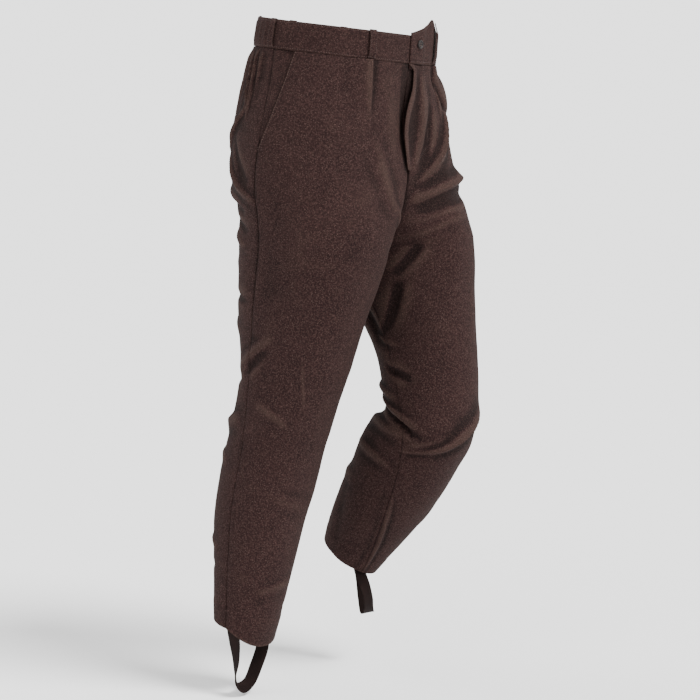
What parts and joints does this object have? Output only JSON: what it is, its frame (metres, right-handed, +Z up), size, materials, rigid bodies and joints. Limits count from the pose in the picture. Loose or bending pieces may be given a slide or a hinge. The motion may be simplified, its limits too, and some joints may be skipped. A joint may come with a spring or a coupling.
{
  "type": "uniform trousers",
  "caption": "Heavy wool trousers in worn, filled-out form: buttoned waistband with belt loops, front pleats, slanted pockets, tapered legs and elastic foot straps.",
  "frame": {"origin": "centre of the waistband ring, at half its height, where the wearer's waist holds the trousers up", "axes": "+Z up, the wearer faces -Y, +X is the wearer's left"},
  "size_m": [0.406, 0.3324, 1.0977],
  "materials": {
    "wool": "napped brown melange twill",
    "elastic": "woven brown elastic tape",
    "button": "dark brown, satin"
  },
  "bodies": {
    "root": {"front_right": "wool", "front_left": "wool", "back_right": "wool", "back_left": "wool", "pocket_facing_right": "wool", "pocket_facing_left": "wool", "fly_shield": "wool", "waistband_right": "wool", "waistband_left": "wool", "belt_loop_front_right": "wool", "belt_loop_front_left": "wool", "belt_loop_side_right": "wool", "belt_loop_side_left": "wool", "belt_loop_back_right": "wool", "belt_loop_back_left": "wool", "belt_loop_centre_back": "wool", "waist_button": "button", "stirrup_right": "elastic", "stirrup_left": "elastic"}
  },
  "joints": []
}
